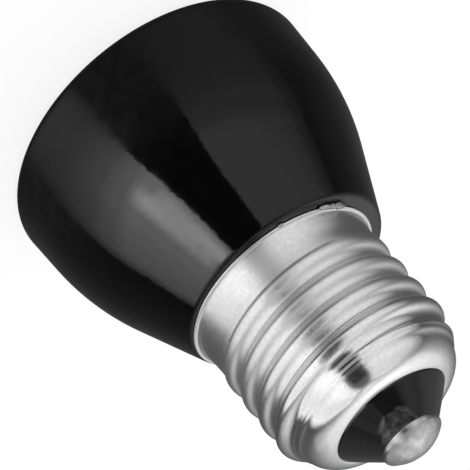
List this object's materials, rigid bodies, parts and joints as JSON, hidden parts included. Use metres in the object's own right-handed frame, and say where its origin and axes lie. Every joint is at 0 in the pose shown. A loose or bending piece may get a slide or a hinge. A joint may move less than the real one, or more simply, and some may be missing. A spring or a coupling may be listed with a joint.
{
  "type": "ceramic heat emitter",
  "caption": "Black glazed ceramic heat emitter: a flared, flat-fronted body on a threaded metal lamp cap with a centre contact, screwed into a lampholder to give heat without light.",
  "frame": {"origin": "centre of the flat front face of the ceramic body, on which the part stands", "axes": "+Z along the body's axis, from the front face towards the cap's centre contact; -Y is the side that the picture shows; the cap's axis is parallel to +Z and 0.8 mm towards +X"},
  "size_m": [0.0456, 0.0456, 0.0586],
  "materials": {
    "black_glaze": "smooth glossy black glaze with faint waviness",
    "nickel_sheet": "satin nickel-plated sheet, rolled thread",
    "black_glass": "opaque glossy black cap glass",
    "tinned_contact": "tinned, slightly mottled satin grey",
    "solder": "bright lumpy solder"
  },
  "bodies": {
    "root": {"ceramic_body": "black_glaze", "screw_shell": "nickel_sheet", "insulator": "black_glass", "centre_contact": "tinned_contact", "rim_solder": "solder"}
  },
  "joints": []
}
